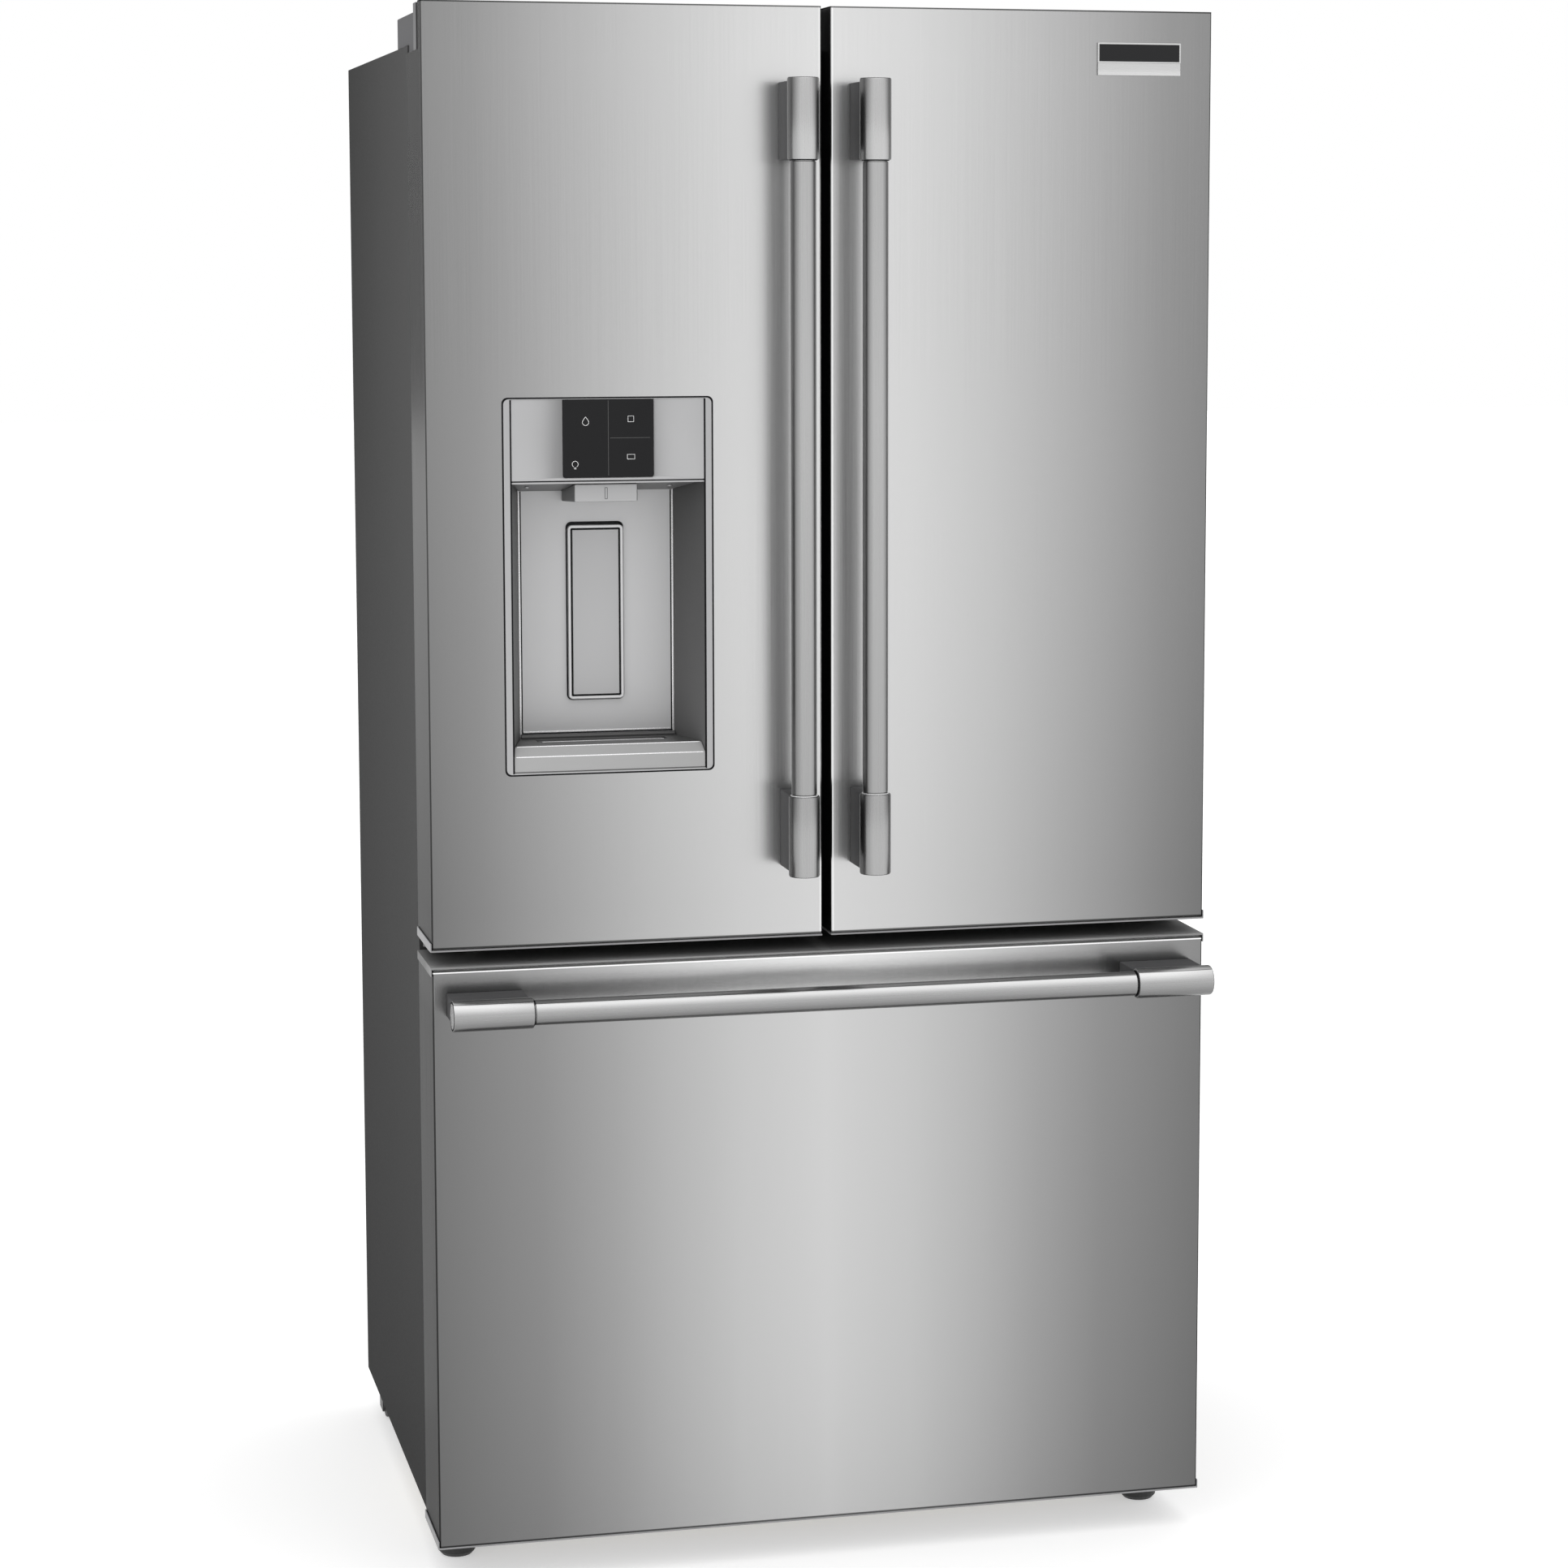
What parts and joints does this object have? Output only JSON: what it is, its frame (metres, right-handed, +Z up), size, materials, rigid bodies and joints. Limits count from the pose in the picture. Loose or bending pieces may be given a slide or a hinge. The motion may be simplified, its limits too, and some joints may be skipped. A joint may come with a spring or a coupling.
{
  "type": "french door refrigerator",
  "caption": "Free-standing stainless refrigerator: two hinged doors over a freezer drawer, bar handles, ice and water dispenser.",
  "frame": {"origin": "on the floor, under the middle of the overall box (feet at z = 0)", "axes": "+Z up, fronts and handles face -Y, +X to the right seen from the front"},
  "size_m": [0.9086, 0.797, 1.781],
  "materials": {
    "painted_case": "satin dark grey paint",
    "stainless": "vertically brushed",
    "handle_steel": "brushed along the tube",
    "grey_plastic": "fine matt grain",
    "silver_plastic": "silver painted plastic",
    "display_glass": "gloss black",
    "badge_metal": "blank plaque, brushed",
    "black_plastic": "black",
    "foot_plastic": "black",
    "white_liner": "semi-gloss white",
    "insulation": "foam, hidden",
    "gasket": "soft grey",
    "shelf_glass": "clear with polished edges",
    "clear_plastic": "clear moulded",
    "zinc_steel": "zinc plated",
    "black_steel": "satin black"
  },
  "bodies": {
    "cabinet": {"outer_case": "painted_case", "cabinet_insulation": "insulation", "fridge_liner": "white_liner", "freezer_liner": "white_liner", "rear_cover": "zinc_steel", "base_frame": "black_steel", "compressor": "black_steel", "left_top_hinge": "zinc_steel", "right_top_hinge": "zinc_steel", "left_hinge_cover": "grey_plastic", "right_hinge_cover": "grey_plastic", "left_centre_hinge": "zinc_steel", "right_centre_hinge": "zinc_steel", "ice_maker": "white_liner", "upper_shelf": "shelf_glass", "middle_shelf": "shelf_glass", "crisper_cover": "shelf_glass"},
    "left_door": {"left_door_skin": "stainless", "left_door_body": "white_liner", "left_door_bottom_cap": "grey_plastic", "left_door_gasket": "gasket", "left_handle_bar": "handle_steel", "left_handle_top_mount": "handle_steel", "left_handle_bottom_mount": "handle_steel", "left_door_bin": "clear_plastic", "dispenser_housing": "silver_plastic", "dispenser_fascia": "silver_plastic", "dispenser_display": "display_glass", "dispenser_spout": "silver_plastic", "drip_tray": "silver_plastic"},
    "right_door": {"right_door_skin": "stainless", "right_door_body": "white_liner", "right_door_bottom_cap": "grey_plastic", "right_door_gasket": "gasket", "right_handle_bar": "handle_steel", "right_handle_top_mount": "handle_steel", "right_handle_bottom_mount": "handle_steel", "right_door_upper_bin": "clear_plastic", "right_door_lower_bin": "clear_plastic", "badge": "badge_metal"},
    "freezer_drawer": {"drawer_skin": "stainless", "drawer_body": "white_liner", "drawer_top_cap": "grey_plastic", "drawer_bottom_cap": "grey_plastic", "drawer_gasket": "gasket", "drawer_handle_bar": "handle_steel", "drawer_left_mount": "handle_steel", "drawer_right_mount": "handle_steel", "left_drawer_slide": "zinc_steel", "right_drawer_slide": "zinc_steel", "lower_basket": "white_liner"},
    "upper_basket": {"upper_basket": "white_liner"},
    "left_crisper": {"left_crisper": "clear_plastic"},
    "right_crisper": {"right_crisper": "clear_plastic"},
    "dispenser_paddle": {"dispenser_paddle": "silver_plastic"},
    "flipper_mullion": {"flipper_mullion": "white_liner"},
    "left_foot": {"left_foot": "foot_plastic"},
    "right_foot": {"right_foot": "foot_plastic"},
    "left_roller": {"left_roller": "black_plastic"},
    "right_roller": {"right_roller": "black_plastic"}
  },
  "joints": [
    {"name": "left_door_hinge", "type": "hinge", "parent": "cabinet", "child": "left_door", "pos_m": [-0.4365, -0.22848, 1.2], "axis": [0, 0, -1], "range_deg": [0, 115]},
    {"name": "right_door_hinge", "type": "hinge", "parent": "cabinet", "child": "right_door", "pos_m": [0.4365, -0.22848, 1.2], "axis": [0, 0, 1], "range_deg": [0, 115]},
    {"name": "freezer_drawer_slide", "type": "slide", "parent": "cabinet", "child": "freezer_drawer", "axis": [0, -1, 0], "range_m": [0, 0.4]},
    {"name": "upper_basket_slide", "type": "slide", "parent": "cabinet", "child": "upper_basket", "axis": [0, -1, 0], "range_m": [0, 0.2]},
    {"name": "left_crisper_slide", "type": "slide", "parent": "cabinet", "child": "left_crisper", "axis": [0, -1, 0], "range_m": [0, 0.085]},
    {"name": "right_crisper_slide", "type": "slide", "parent": "cabinet", "child": "right_crisper", "axis": [0, -1, 0], "range_m": [0, 0.085]},
    {"name": "dispenser_paddle_pivot", "type": "hinge", "parent": "left_door", "child": "dispenser_paddle", "pos_m": [-0.25065, -0.22298, 1.196], "axis": [1, 0, 0], "range_deg": [0, 5], "stiffness_Nm_per_rad": 1.2},
    {"name": "flipper_mullion_hinge", "type": "hinge", "parent": "left_door", "child": "flipper_mullion", "pos_m": [-0.044, -0.18548, 1.225], "axis": [0, 0, 1], "range_deg": [0, 90]},
    {"name": "left_foot_turn", "type": "hinge", "parent": "cabinet", "child": "left_foot", "pos_m": [-0.4175, -0.20047, 0.02], "axis": [0, 0, 1], "continuous": true},
    {"name": "right_foot_turn", "type": "hinge", "parent": "cabinet", "child": "right_foot", "pos_m": [0.4175, -0.20047, 0.02], "axis": [0, 0, 1], "continuous": true},
    {"name": "left_roller_spin", "type": "hinge", "parent": "cabinet", "child": "left_roller", "pos_m": [-0.427, 0.33853, 0.02], "axis": [1, 0, 0], "continuous": true},
    {"name": "right_roller_spin", "type": "hinge", "parent": "cabinet", "child": "right_roller", "pos_m": [0.427, 0.33853, 0.02], "axis": [1, 0, 0], "continuous": true}
  ],
  "couplings": [
    {"joint": "upper_basket_slide", "follows": "freezer_drawer_slide", "ratio": 0.5}
  ]
}
